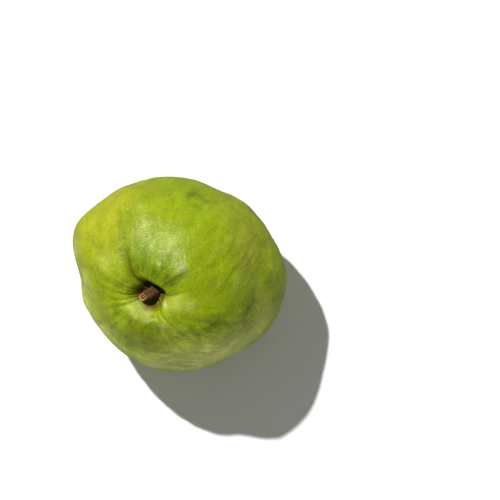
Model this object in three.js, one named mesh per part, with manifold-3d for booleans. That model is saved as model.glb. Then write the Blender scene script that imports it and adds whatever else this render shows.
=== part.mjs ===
// A guava, as picked. One round, unevenly lobed fruit rests on a small flat spot. A short woody
// stalk end stands in the hollow at its top, and the dried sepals sit in the shallow basin at its
// blossom end. Millimetres, +Z up. The origin is on the resting face, under the middle of the box.
import * as THREE from 'three';
import { mergeVertices } from 'three/addons/utils/BufferGeometryUtils.js';
import Module from 'manifold-3d';

const wasm = await Module();
wasm.setup();

// Driving dimensions of the fruit
const BODY_RADIUS = 39.0; // from the fruit's middle to its skin, before the swellings
const MIDDLE = new THREE.Vector3(-1.555, 0.015, 37.9);
const STEM_AXIS = direction(219, 64); // the stem end leans a little off straight up
const BLOSSOM_AXIS = direction(33, -61);
const SECTORS = 84; // round the stem axis
const RINGS = 47; // from the stem end to the blossom end
const RING_CROWDING = 0.52; // 0 spaces the rings evenly, towards 1 crowds them at both ends
const CLEARANCE = 0.3; // between pieces that touch

// Broad swellings of the skin: where they point, how far they stand out and how wide they are
const SWELLINGS = {
  rightSide: { azimuth: -12, elevation: -2, height: 4.7, spread: 40 },
  rightKnob: { azimuth: -22, elevation: 0, height: 1.3, spread: 13 },
  rightEnd: { azimuth: 0, elevation: -4, height: 1.3, spread: 13 },
  rightDip: { azimuth: -5, elevation: 34, height: -2.2, spread: 20 },
  leftShoulder: { azimuth: 135, elevation: 12, height: 2.9, spread: 36 },
  leftCorner: { azimuth: 156, elevation: 8, height: 4.2, spread: 17 },
  leftFlank: { azimuth: -140, elevation: -8, height: -1.6, spread: 36 },
  leftFoot: { azimuth: 180, elevation: -10, height: -0.5, spread: 16 },
  leftWaist: { azimuth: 179, elevation: 6, height: -1.4, spread: 11 },
  leftKnob: { azimuth: -160, elevation: -4, height: 0.95, spread: 12 },
  nearSide: { azimuth: -105, elevation: -12, height: 1.0, spread: 24 },
  nearShoulder: { azimuth: -46, elevation: 38, height: 3.0, spread: 20 },
  nearBrow: { azimuth: -67, elevation: 35, height: 2.1, spread: 10 },
  nearNotch: { azimuth: -89, elevation: 26, height: -1.5, spread: 6 },
  nearKnob: { azimuth: -104, elevation: 24, height: 0.6, spread: 8 },
  farShoulder: { azimuth: 125, elevation: 38, height: 1.4, spread: 26 },
  farSide: { azimuth: 65, elevation: 0, height: -1.3, spread: 16 },
  farKnob: { azimuth: 42, elevation: 8, height: 1.1, spread: 14 },
  farBrow: { azimuth: 116, elevation: 33, height: 2.2, spread: 9 },
  crownDip: { azimuth: 135, elevation: 66, height: -2.6, spread: 28 },
  crown: { azimuth: -13, elevation: 83, height: 1.5, spread: 10 },
};

// The hollow round the stalk: a steep funnel inside a shallow saucer. Under its lip, on one
// side, the funnel's wall is steeper. Bearings are degrees round the stem axis, 0 towards +X.
const FUNNEL = {
  depth: 7.8, halfLength: 7.4, shift: 0.7, lipBearing: 66, squareness: 4,
  lip: { distance: 7.2, steepness: 14 },
  open: { distance: 5.0, steepness: 7 },
};
const SAUCER = { depth: 3.5, radius: 16 };

// Creases that run out from the hollow. The first two are bowed to one side by `bow`.
const CREASES = [
  { bearing: 119.5, depth: 2.6, halfWidth: 1.9, start: 9, reach: 9, bow: 1.5 },
  { bearing: 117.5, depth: 0.7, halfWidth: 0.8, start: 17, reach: 5, bow: 1.8 },
  { bearing: 155, depth: 0.65, halfWidth: 0.5, start: 3.5, reach: 8 },
  { bearing: 166, depth: 0.35, halfWidth: 0.4, start: 4, reach: 8 },
  { bearing: 177, depth: 0.4, halfWidth: 0.45, start: 4, reach: 7 },
  { bearing: 189, depth: 0.3, halfWidth: 0.4, start: 4, reach: 8 },
  { bearing: 202, depth: 0.8, halfWidth: 0.55, start: 3.5, reach: 9 },
  { bearing: 318, depth: 1.2, halfWidth: 0.6, start: 5, reach: 8 },
  { bearing: 13, depth: 0.55, halfWidth: 0.8, start: 8, reach: 9 },
];
const BOW = { distance: 12.5, length: 5 }; // where along the crease, and over what length

// Soft lobes that crowd round the hollow, between the creases, and the dent beside the stalk
const LOBES = [
  { bearing: 68, distance: 15, height: 2.1, width: 6.0 },
  { bearing: 140, distance: 16, height: 0.8, width: 7 },
  { bearing: 262, distance: 10, height: 1.8, width: 6.8 },
  { bearing: 225, distance: 15, height: 0.8, width: 7 },
  { bearing: 335, distance: 17, height: 1.4, width: 8 },
  { bearing: 359, distance: 14, height: 0.5, width: 3.5 },
  { bearing: 240, distance: 8.5, height: 0.7, width: 3 },
  { bearing: 275, distance: 5.7, height: -4.2, width: 2.4 },
];

// Low uneven waves all over the skin, drawn from a seeded sequence: broad ones, then closer ones
const WAVES = [
  { count: 14, height: 0.26, least: 5, most: 11, seed: 7 },
  { count: 24, height: 0.16, least: 13, most: 21, seed: 19 },
];

// The basin at the blossom end
const BASIN = { depth: 3.2, radius: 6, steepness: 4 };
const BASIN_SAUCER = { depth: 0.8, radius: 10 };

// The stalk end
const STALK = { radius: 2.05, tipRadius: 1.8, length: 6.1, sunk: 1.6, sides: 16 };
const STALK_FOOT = { across: 1.4, beside: 1.2 }; // from the stem axis
const STALK_LEAN = { across: -3.2, beside: -1.2, sweep: 1.6 }; // of its tip from its foot
const STALK_RIM = 0.45; // wall of bark round the cut end
const STALK_PITH_DEPTH = 0.5;
const STALK_SQUARENESS = 0.08; // a guava twig is roughly four-sided

// The dried calyx
const CALYX = { radius: 3.9, thickness: 1.5, sunk: 1.0, cupRadius: 2.4, cupDepth: 0.7, sides: 30 };
const SEPALS = {
  count: 5, length: 5.0, width: 3.8, thickness: 0.9, splay: 33, curl: 1.1, ring: 2.7, rootHeight: 0.1,
};

/** Unit vector at an azimuth from +X and an elevation above the floor, both in degrees. */
function direction(azimuth, elevation) {
  const turn = THREE.MathUtils.degToRad(azimuth);
  const rise = THREE.MathUtils.degToRad(elevation);
  return new THREE.Vector3(
    Math.cos(turn) * Math.cos(rise),
    Math.sin(turn) * Math.cos(rise),
    Math.sin(rise),
  );
}

/** Turns +Y onto an axis, with +X kept as near to the world's +X as it goes. */
function standOn(axis) {
  const across = new THREE.Vector3(1, 0, 0).addScaledVector(axis, -axis.x).normalize();
  return new THREE.Matrix4().makeBasis(across, axis, across.clone().cross(axis));
}

const STEM_FRAME = standOn(STEM_AXIS);
const BLOSSOM_FRAME = standOn(BLOSSOM_AXIS);
const swellings = Object.values(SWELLINGS).map(({ azimuth, elevation, height, spread }) => ({
  towards: direction(azimuth, elevation),
  height,
  spread: THREE.MathUtils.degToRad(spread),
}));

/** Numbers from 0 to 1 in a fixed sequence. */
function seededNumbers(seed) {
  const [factor, step, span] = [1664525, 1013904223, 2 ** 32];
  let state = seed;
  return () => {
    state = (factor * state + step) % span;
    return state / span;
  };
}

/** Waves over the skin, each with its own direction, closeness and start. */
function drawWaves({ count, height, least, most, seed }) {
  const next = seededNumbers(seed);
  return Array.from({ length: count }, () => {
    const towards = direction(360 * next(), THREE.MathUtils.radToDeg(Math.asin(2 * next() - 1)));
    return {
      along: towards.multiplyScalar(least + (most - least) * next()),
      start: 2 * Math.PI * next(),
      height: height * Math.sqrt(2 / count),
    };
  });
}

const waves = WAVES.flatMap(drawWaves);

const bell = (distance, width) => Math.exp(-((distance / width) ** 2));
const plateau = (distance, width, steepness) => 1 / (1 + (distance / width) ** steepness);

/** How deep a crease is, at a point `along` its bearing and `across` it. */
function creaseDepth({ depth, halfWidth, start, reach, bow = 0 }, along, across) {
  if (along <= 0) return 0;
  const aside = across - bow * bell(along - BOW.distance, BOW.length);
  const fadeIn = Math.min(along / start, 1) ** 2;
  return depth * fadeIn * bell(aside, halfWidth) * bell(Math.max(along - start, 0), reach);
}

/** How deep the funnel is, at a bearing and a reach from the stem axis. */
function funnelDepth(bearing, reach) {
  const { depth, halfLength, shift, lipBearing, squareness, lip, open } = FUNNEL;
  const turn = bearing - THREE.MathUtils.degToRad(lipBearing);
  const side = Math.cos(turn) > 0 ? lip : open;
  const toLip = Math.abs(reach * Math.cos(turn)) / side.distance;
  const beside = Math.abs(reach * Math.sin(turn) + shift) / halfLength;
  const apart = (toLip ** squareness + beside ** squareness) ** (1 / squareness);
  const lipShare = (1 + Math.cos(turn)) / 2;
  return depth * plateau(apart, 1, THREE.MathUtils.lerp(open.steepness, lip.steepness, lipShare));
}

/** Distance from the fruit's middle to its skin in a direction. */
function skinRadius(towards) {
  let radius = BODY_RADIUS;
  for (const swelling of swellings) {
    radius += swelling.height * bell(towards.angleTo(swelling.towards), swelling.spread);
  }
  const local = towards.clone().applyMatrix4(STEM_FRAME.clone().transpose());
  const reach = BODY_RADIUS * towards.angleTo(STEM_AXIS);
  const bearing = Math.atan2(-local.z, local.x);
  radius -= funnelDepth(bearing, reach);
  radius -= SAUCER.depth * bell(reach, SAUCER.radius);
  for (const crease of CREASES) {
    const turn = bearing - THREE.MathUtils.degToRad(crease.bearing);
    radius -= creaseDepth(crease, reach * Math.cos(turn), reach * Math.sin(turn));
  }
  for (const lobe of LOBES) {
    const turn = bearing - THREE.MathUtils.degToRad(lobe.bearing);
    const apart = Math.hypot(reach * Math.cos(turn) - lobe.distance, reach * Math.sin(turn));
    radius += lobe.height * bell(apart, lobe.width);
  }
  for (const { along, start, height } of waves) {
    radius += height * Math.sin(along.dot(towards) + start);
  }
  const fromBlossom = BODY_RADIUS * towards.angleTo(BLOSSOM_AXIS);
  radius -= BASIN.depth * plateau(fromBlossom, BASIN.radius, BASIN.steepness);
  radius -= BASIN_SAUCER.depth * bell(fromBlossom, BASIN_SAUCER.radius);
  return radius;
}

/** Point of the skin in a direction from the fruit's middle. */
function skinPoint(towards) {
  return towards.clone().multiplyScalar(skinRadius(towards)).add(MIDDLE);
}

/** Moves every corner of a geometry by a function of its position. */
function reshape(geometry, move) {
  const corners = geometry.attributes.position;
  const corner = new THREE.Vector3();
  for (let i = 0; i < corners.count; i += 1) {
    corner.fromBufferAttribute(corners, i);
    corners.setXYZ(i, ...move(corner).toArray());
  }
  return geometry;
}

/** Closed solid from a geometry whose seams are joined first. */
function toSolid(geometry) {
  const bare = geometry.clone();
  bare.deleteAttribute('normal');
  bare.deleteAttribute('uv');
  const joined = mergeVertices(bare);
  return new wasm.Manifold(new wasm.Mesh({
    numProp: 3,
    vertProperties: joined.attributes.position.array,
    triVerts: new Uint32Array(joined.index.array),
  }));
}

/** Geometry from a solid. */
function toGeometry(solid) {
  const { vertProperties, triVerts } = solid.getMesh();
  const geometry = new THREE.BufferGeometry();
  geometry.setAttribute('position', new THREE.BufferAttribute(vertProperties, 3));
  geometry.setIndex(new THREE.BufferAttribute(triVerts, 1));
  geometry.computeVertexNormals();
  return geometry;
}

/** The fruit: a sphere drawn out to the skin, flat where it rests. */
function fruitGeometry() {
  const sphere = new THREE.SphereGeometry(1, SECTORS, RINGS);
  return reshape(sphere, (corner) => {
    const share = Math.acos(THREE.MathUtils.clamp(corner.y, -1, 1)) / Math.PI;
    const crowded = share - (RING_CROWDING * Math.sin(2 * Math.PI * share)) / (2 * Math.PI);
    const polar = Math.PI * crowded;
    const turn = Math.atan2(corner.z, corner.x);
    const towards = new THREE.Vector3(
      Math.sin(polar) * Math.cos(turn),
      Math.cos(polar),
      Math.sin(polar) * Math.sin(turn),
    ).applyMatrix4(STEM_FRAME);
    const point = skinPoint(towards);
    point.z = Math.max(point.z, 0);
    return point;
  });
}

/** Places a piece made round +Y on the skin, with its zero height at the skin's surface. */
function seat(geometry, axis, frame) {
  const foot = skinPoint(axis);
  return geometry.applyMatrix4(frame).translate(foot.x, foot.y, foot.z);
}

/** The stalk end: a leaning, roughly square peg with a rim of bark round its sunken pith. */
function stalkGeometry(grow) {
  const { radius, tipRadius, length, sunk, sides } = STALK;
  const top = length + grow;
  const outline = [
    [0, -sunk - grow],
    [radius + grow, -sunk - grow],
    [radius + grow, 0],
    [(radius + tipRadius) / 2 + grow, length * 0.5],
    [tipRadius + grow, length * 0.85],
    [tipRadius + grow, top - STALK_RIM],
    [tipRadius + grow - STALK_RIM / 2, top],
    [tipRadius - STALK_RIM, top - STALK_RIM / 2],
    [tipRadius / 2, top - STALK_PITH_DEPTH],
    [0, top - STALK_PITH_DEPTH],
  ].map(([across, up]) => new THREE.Vector2(across, up));
  const peg = reshape(new THREE.LatheGeometry(outline, sides), (corner) => {
    const turn = Math.atan2(corner.z, corner.x);
    const square = 1 + STALK_SQUARENESS * Math.cos(4 * turn);
    const bend = (Math.max(corner.y, 0) / length) ** STALK_LEAN.sweep;
    return new THREE.Vector3(
      corner.x * square + STALK_FOOT.across + STALK_LEAN.across * bend,
      corner.y,
      corner.z * square - STALK_FOOT.beside - STALK_LEAN.beside * bend,
    );
  });
  return seat(peg, STEM_AXIS, STEM_FRAME);
}

/** One dried sepal: a pointed blade that leans out from the ring and curls back at its tip. */
function sepalGeometry(index) {
  const { count, length, width, thickness, splay, curl, ring, rootHeight } = SEPALS;
  const blade = reshape(new THREE.SphereGeometry(1, 10, 10), (corner) => {
    const share = (corner.y + 1) / 2; // 0 at the root, 1 at the tip
    const narrowing = 1 - 0.45 * share ** 2;
    return new THREE.Vector3(
      (corner.x * thickness) / 2 + curl * share ** 2,
      share * length,
      ((corner.z * width) / 2) * narrowing,
    );
  });
  return blade
    .rotateZ(-THREE.MathUtils.degToRad(splay))
    .translate(ring, rootHeight, 0)
    .rotateY((2 * Math.PI * index) / count);
}

/** The round foot of the calyx, with the scar of the flower in its middle. */
function calyxFoot() {
  const { radius, thickness, sunk, cupRadius, cupDepth, sides } = CALYX;
  const top = thickness - sunk;
  const outline = [
    [0, -sunk],
    [radius, -sunk],
    [radius, top],
    [cupRadius + cupDepth, top],
    [cupRadius, top - cupDepth],
    [0, top - cupDepth],
  ].map(([across, up]) => new THREE.Vector2(across, up));
  return new THREE.LatheGeometry(outline, sides);
}

/** A plain round socket for the calyx, open above the skin. */
function calyxSocket() {
  const { radius, sunk, thickness, sides } = CALYX;
  const height = sunk + CLEARANCE + thickness;
  const middle = height / 2 - sunk - CLEARANCE;
  const socketRadius = radius + CLEARANCE;
  const plug = new THREE.CylinderGeometry(socketRadius, socketRadius, height, sides);
  return seat(plug.translate(0, middle, 0), BLOSSOM_AXIS, BLOSSOM_FRAME);
}

/** The whole calyx, as one solid. */
function calyxGeometry() {
  let calyx = toSolid(calyxFoot());
  for (let i = 0; i < SEPALS.count; i += 1) {
    calyx = calyx.add(toSolid(sepalGeometry(i)));
  }
  return seat(toGeometry(calyx), BLOSSOM_AXIS, BLOSSOM_FRAME);
}

/** The fruit with the two plain sockets that its stalk end and calyx stand in. */
function socketedFruit() {
  const fruit = toSolid(fruitGeometry())
    .subtract(toSolid(stalkGeometry(CLEARANCE)))
    .subtract(toSolid(calyxSocket()));
  return toGeometry(fruit);
}

/** A named piece with its own finish. */
function piece(name, geometry, color, roughness) {
  const mesh = new THREE.Mesh(
    geometry,
    new THREE.MeshStandardMaterial({ name, color, roughness, metalness: 0 }),
  );
  mesh.name = name;
  return mesh;
}

const guava = new THREE.Group();
guava.name = 'guava';
guava.add(
  piece('guava_fruit', socketedFruit(), 0x8fa81e, 0.42),
  piece('stem_stub', stalkGeometry(0), 0x6b4a33, 0.85),
  piece('calyx_crown', calyxGeometry(), 0x5f5233, 0.9),
);

export default guava;
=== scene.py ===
"""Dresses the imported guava: its skin, stalk end and dried calyx, on a plain lit floor."""

import logging
import math
from collections.abc import Callable, Iterator, Sequence
from dataclasses import dataclass
from enum import Enum
from functools import partial
from typing import TypeVar

import bpy
import numpy as np
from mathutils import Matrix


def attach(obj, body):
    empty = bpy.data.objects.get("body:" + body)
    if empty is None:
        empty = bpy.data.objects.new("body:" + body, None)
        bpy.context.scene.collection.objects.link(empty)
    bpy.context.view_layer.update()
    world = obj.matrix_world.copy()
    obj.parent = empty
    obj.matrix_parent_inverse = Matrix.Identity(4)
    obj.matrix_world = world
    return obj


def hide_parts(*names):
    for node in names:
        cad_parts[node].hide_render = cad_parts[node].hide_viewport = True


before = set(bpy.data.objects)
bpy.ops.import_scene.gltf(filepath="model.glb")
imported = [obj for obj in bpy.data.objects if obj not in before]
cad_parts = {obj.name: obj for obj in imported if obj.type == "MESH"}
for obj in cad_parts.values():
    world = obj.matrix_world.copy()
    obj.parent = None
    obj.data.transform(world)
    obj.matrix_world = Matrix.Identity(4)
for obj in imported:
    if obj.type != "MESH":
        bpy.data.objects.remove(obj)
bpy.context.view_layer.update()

MM = 0.001
BODY = "root"
ATTRIBUTE_FIELDS = {"FLOAT": "value", "FLOAT_VECTOR": "vector", "FLOAT_COLOR": "color"}
log = logging.getLogger("guava")

Kind = TypeVar("Kind")
Array = np.ndarray
Colour = tuple[float, float, float, float]
Pair = tuple[float, float]
Scale = tuple[float, float, float]
Range = tuple[float, ...]  # two values, and what they become where that isn't 0 and 1
Piece = bpy.types.Object
Material = bpy.types.Material
Node = bpy.types.Node
Socket = bpy.types.NodeSocket


# ---- shape helpers


def direction(azimuth: float, elevation: float) -> Array:
    """Unit vector by its angles in degrees, from +X towards +Y and above the floor."""
    turn, rise = math.radians(azimuth), math.radians(elevation)
    return np.array([math.cos(turn) * math.cos(rise), math.sin(turn) * math.cos(rise), math.sin(rise)])


def bell(distance: Array, width: float) -> Array:
    """Smooth hump, 1 at no distance and falling to 0 past the width."""
    return np.exp(-((distance / width) ** 2))


def plateau(distance: Array, width: float, steepness: Array | float) -> Array:
    """Flat-topped hump whose side falls at the width."""
    return 1.0 / (1.0 + (distance / width) ** steepness)


def angle_between(towards: Array, axis: Array) -> Array:
    """Angle in radians between unit vectors and an axis."""
    return np.arccos(np.clip(towards @ axis, -1.0, 1.0))


def soft_patch(towards: Array, azimuth: float, elevation: float, spread: float) -> Array:
    """Soft round patch, 1 in its middle, by where it points and its spread in degrees."""
    return bell(angle_between(towards, direction(azimuth, elevation)), math.radians(spread))


def round_points(radius: Array | float, turn: Array, height: Array) -> Array:
    """Points round an axis, one row each, from radius, angle and height."""
    return np.stack([radius * np.cos(turn), radius * np.sin(turn), height], axis=1)


def several(kind: Callable[..., Kind], *rows: tuple[object, ...]) -> tuple[Kind, ...]:
    """Makes one thing of a kind from each row of values."""
    return tuple(kind(*row) for row in rows)


@dataclass(frozen=True)
class AxisFrame:
    """Right-handed directions round an axis, with `across` as near to +X as it goes."""

    axis: Array

    @property
    def across(self) -> Array:
        """Direction square to the axis, nearest to +X."""
        flat = np.array([1.0, 0.0, 0.0]) - self.axis * self.axis[0]
        return flat / np.linalg.norm(flat)

    @property
    def beside(self) -> Array:
        """Direction square to both others."""
        return np.cross(self.axis, self.across)

    def bearing(self, towards: Array) -> Array:
        """Angle round the axis in radians, from `across`."""
        return np.arctan2(towards @ self.beside, towards @ self.across)

    def place(self, local: Array, foot: Array) -> Array:
        """Moves points from the axis's own frame (its axis last) to the row's frame."""
        return foot + local[:, :1] * self.across + local[:, 1:2] * self.beside + local[:, 2:] * self.axis


class LumpField:
    """Smooth three-dimensional noise, about -1 to 1, the same on every run."""

    SIZE = 256
    GAIN = 1.6

    def __init__(self, seed: int) -> None:
        """Draws the slopes and their order.

        Args:
            seed: fixes what is drawn.
        """
        draw = np.random.default_rng(seed)
        slopes = draw.normal(size=(self.SIZE, 3))
        self.slopes = slopes / np.linalg.norm(slopes, axis=1, keepdims=True)
        self.order = draw.permutation(self.SIZE)

    def __call__(self, points: Array) -> Array:
        """Noise at each point.

        Args:
            points: positions, one row each, in units of one lump.

        Returns:
            One value for each point.
        """
        cell = np.floor(points).astype(int)
        part = points - cell
        ease = part * part * part * (part * (part * 6 - 15) + 10)
        total = np.zeros(len(points))
        for corner in np.ndindex(2, 2, 2):
            shift = np.array(corner)
            key = cell + shift
            pick = self.order[key[:, 0] % self.SIZE]
            pick = self.order[(pick + key[:, 1]) % self.SIZE]
            pick = self.order[(pick + key[:, 2]) % self.SIZE]
            weight = np.prod(np.where(shift, ease, 1 - ease), axis=1)
            total += weight * np.einsum("ij,ij->i", self.slopes[pick], part - shift)
        return total * self.GAIN


@dataclass(frozen=True)
class Crumple:
    """Uneven lumps of one height, by their closeness along each axis and a shift of the noise."""

    height: float
    closeness: Scale | float
    shift: float = 0.0

    def over(self, lumps: LumpField, points: Array) -> Array:
        """Height of the lumps at each point."""
        return self.height * lumps(points * self.closeness + self.shift)


def seeded_numbers(seed: int) -> Iterator[float]:
    """Numbers from 0 to 1 in the same fixed sequence as the solid's waves.

    Args:
        seed: the sequence's first state.

    Yields:
        The next number.
    """
    factor, step, span = 1664525, 1013904223, 2**32
    state = seed
    while True:
        state = (factor * state + step) % span
        yield state / span


# ---- the fruit's form


@dataclass(frozen=True)
class Spots:
    """Spots on the skin: unit vectors from the middle, radians round the stem axis, and reach from it.

    The reach is a distance over the skin in millimetres.
    """

    towards: Array
    bearing: Array
    reach: Array

    def from_bearing(self, bearing: float) -> tuple[Array, Array]:
        """Distances along a bearing in degrees, and across it."""
        turn = self.bearing - math.radians(bearing)
        return self.reach * np.cos(turn), self.reach * np.sin(turn)


@dataclass(frozen=True)
class Swelling:
    """A broad bulge of the skin, by where it points."""

    azimuth: float
    elevation: float
    height: float
    spread: float


@dataclass(frozen=True)
class Lobe:
    """A soft lobe beside the stalk's hollow, or a dent where its height is below 0."""

    bearing: float
    distance: float
    height: float
    width: float

    def height_at(self, spots: Spots) -> Array:
        """Height of the lobe in millimetres at each spot."""
        along, across = spots.from_bearing(self.bearing)
        return self.height * bell(np.hypot(along - self.distance, across), self.width)


@dataclass(frozen=True)
class Crease:
    """A groove that runs out from the stalk's hollow."""

    bearing: float
    depth: float
    half_width: float
    start: float
    reach: float
    bow: float = 0.0
    bow_distance: float = 12.5
    bow_length: float = 5.0

    def depth_at(self, spots: Spots) -> Array:
        """Depth of the groove.

        Args:
            spots: where on the skin.

        Returns:
            Millimetres at each spot.
        """
        along, across = spots.from_bearing(self.bearing)
        across = across - self.bow * bell(along - self.bow_distance, self.bow_length)
        fade_in = np.clip(along / self.start, 0, 1) ** 2
        fade_out = bell(np.clip(along - self.start, 0, None), self.reach)
        return self.depth * fade_in * fade_out * bell(across, self.half_width)


@dataclass(frozen=True)
class Funnel:
    """The stalk's hollow, wider and steeper under the lip on one side."""

    depth: float = 7.8
    half_length: float = 7.4
    shift: float = 0.7
    lip_distance: float = 7.2
    open_distance: float = 5.0
    lip_bearing: float = 66
    lip_steepness: float = 14
    open_steepness: float = 7
    squareness: float = 4

    def depth_at(self, spots: Spots) -> Array:
        """Depth of the hollow.

        Args:
            spots: where on the skin.

        Returns:
            Millimetres at each spot.
        """
        to_lip = np.cos(spots.bearing - math.radians(self.lip_bearing))
        along, across = spots.from_bearing(self.lip_bearing)
        along = np.abs(along) / np.where(to_lip > 0, self.lip_distance, self.open_distance)
        across = np.abs(across + self.shift) / self.half_length
        apart = (along**self.squareness + across**self.squareness) ** (1 / self.squareness)
        lip_share = 0.5 + 0.5 * to_lip
        steepness = self.open_steepness + (self.lip_steepness - self.open_steepness) * lip_share
        return self.depth * plateau(apart, 1.0, steepness)


@dataclass(frozen=True)
class WaveSet:
    """Low uneven waves over the whole skin, drawn from a seeded sequence."""

    count: int
    height: float
    least: float
    most: float
    seed: int

    def height_at(self, towards: Array) -> Array:
        """Height of the waves in millimetres.

        Args:
            towards: unit vectors, one row each.

        Returns:
            Height at each.
        """
        numbers = seeded_numbers(self.seed)
        total = np.zeros(len(towards))
        for _ in range(self.count):
            azimuth = 360 * next(numbers)
            elevation = math.degrees(math.asin(2 * next(numbers) - 1))
            closeness = self.least + (self.most - self.least) * next(numbers)
            along = direction(azimuth, elevation) * closeness
            total += np.sin(towards @ along + 2 * math.pi * next(numbers))
        return total * self.height * math.sqrt(2 / self.count)


@dataclass(frozen=True)
class FruitForm:
    """The skin as a distance from the fruit's middle, in millimetres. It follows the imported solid.

    A saucer is a depth and a radius. The basin is a depth, a radius and a steepness.
    """

    body_radius: float = 39.0
    middle: tuple[float, float, float] = (-1.555, 0.015, 37.9)
    stem_lean: Pair = (219.0, 64.0)
    blossom_lean: Pair = (33.0, -61.0)
    swellings: tuple[Swelling, ...] = several(
        Swelling,
        (-12, -2, 4.7, 40), (135, 12, 2.9, 36), (156, 8, 4.2, 17), (-105, -12, 1.0, 24),
        (125, 38, 1.4, 26), (-140, -8, -1.6, 36), (180, -10, -0.5, 16), (179, 6, -1.4, 11),
        (-160, -4, 0.95, 12), (65, 0, -1.3, 16), (42, 8, 1.1, 14), (-22, 0, 1.3, 13),
        (0, -4, 1.3, 13), (-46, 38, 3.0, 20), (-67, 35, 2.1, 10), (-89, 26, -1.5, 6),
        (-104, 24, 0.6, 8), (-5, 34, -2.2, 20), (116, 33, 2.2, 9), (135, 66, -2.6, 28),
        (-13, 83, 1.5, 10),
    )
    funnel: Funnel = Funnel()
    saucer: Pair = (3.5, 16)
    creases: tuple[Crease, ...] = several(
        Crease,
        (119.5, 2.6, 1.9, 9, 9, 1.5), (117.5, 0.7, 0.8, 17, 5, 1.8), (155, 0.65, 0.5, 3.5, 8),
        (166, 0.35, 0.4, 4, 8), (177, 0.4, 0.45, 4, 7), (189, 0.3, 0.4, 4, 8),
        (202, 0.8, 0.55, 3.5, 9), (318, 1.2, 0.6, 5, 8), (13, 0.55, 0.8, 8, 9),
    )
    lobes: tuple[Lobe, ...] = several(
        Lobe,
        (68, 15, 2.1, 6.0), (140, 16, 0.8, 7), (262, 10, 1.8, 6.8), (225, 15, 0.8, 7),
        (335, 17, 1.4, 8), (359, 14, 0.5, 3.5), (240, 8.5, 0.7, 3), (275, 5.7, -4.2, 2.4),
    )
    waves: tuple[WaveSet, ...] = several(WaveSet, (14, 0.26, 5, 11, 7), (24, 0.16, 13, 21, 19))
    basin: tuple[float, float, float] = (3.2, 6, 4)
    basin_saucer: Pair = (0.8, 10)

    @property
    def stem(self) -> AxisFrame:
        """Frame round the axis that points at the stalk."""
        return AxisFrame(direction(*self.stem_lean))

    @property
    def blossom(self) -> AxisFrame:
        """Frame round the axis that points at the calyx."""
        return AxisFrame(direction(*self.blossom_lean))

    def spots(self, towards: Array) -> Spots:
        """Spots on the skin by where they point."""
        stem = self.stem
        return Spots(towards, stem.bearing(towards), self.body_radius * angle_between(towards, stem.axis))

    def radius(self, towards: Array) -> Array:
        """Distance from the middle to the skin.

        Args:
            towards: unit vectors, one row each.

        Returns:
            One distance for each, in millimetres.
        """
        radius = np.full(len(towards), self.body_radius)
        for bulge in self.swellings:
            radius += bulge.height * soft_patch(towards, bulge.azimuth, bulge.elevation, bulge.spread)
        spots = self.spots(towards)
        radius -= self.funnel.depth_at(spots)
        radius -= self.saucer[0] * bell(spots.reach, self.saucer[1])
        for crease in self.creases:
            radius -= crease.depth_at(spots)
        for lobe in self.lobes:
            radius += lobe.height_at(spots)
        for wave_set in self.waves:
            radius += wave_set.height_at(towards)
        from_blossom = self.body_radius * angle_between(towards, self.blossom.axis)
        basin_depth, basin_radius, basin_steepness = self.basin
        radius -= basin_depth * plateau(from_blossom, basin_radius, basin_steepness)
        radius -= self.basin_saucer[0] * bell(from_blossom, self.basin_saucer[1])
        return radius

    def point(self, towards: Array) -> Array:
        """Point of the skin in one direction."""
        return np.array(self.middle) + towards * self.radius(towards[None])[0]


@dataclass(frozen=True)
class Roughening:
    """One size of uneven lumps, by their width and height in millimetres."""

    width: float
    height: float
    seed: int


@dataclass(frozen=True)
class Wrinkling:
    """Low ridges that lie side by side over one part of the skin."""

    azimuth: float
    elevation: float
    spread: float
    lie: Pair
    width: float
    length: float
    height: float
    seed: int

    def height_at(self, towards: Array) -> Array:
        """Height of the ridges.

        Args:
            towards: unit vectors from the fruit's middle.

        Returns:
            Millimetres at each point, above and below nought.
        """
        lie = direction(*self.lie)
        along = (towards @ lie)[:, None] * lie
        place = ((towards - along) / self.width + along / self.length) * FruitForm.body_radius
        part = soft_patch(towards, self.azimuth, self.elevation, self.spread)
        return self.height * LumpField(self.seed)(place) * part


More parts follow.
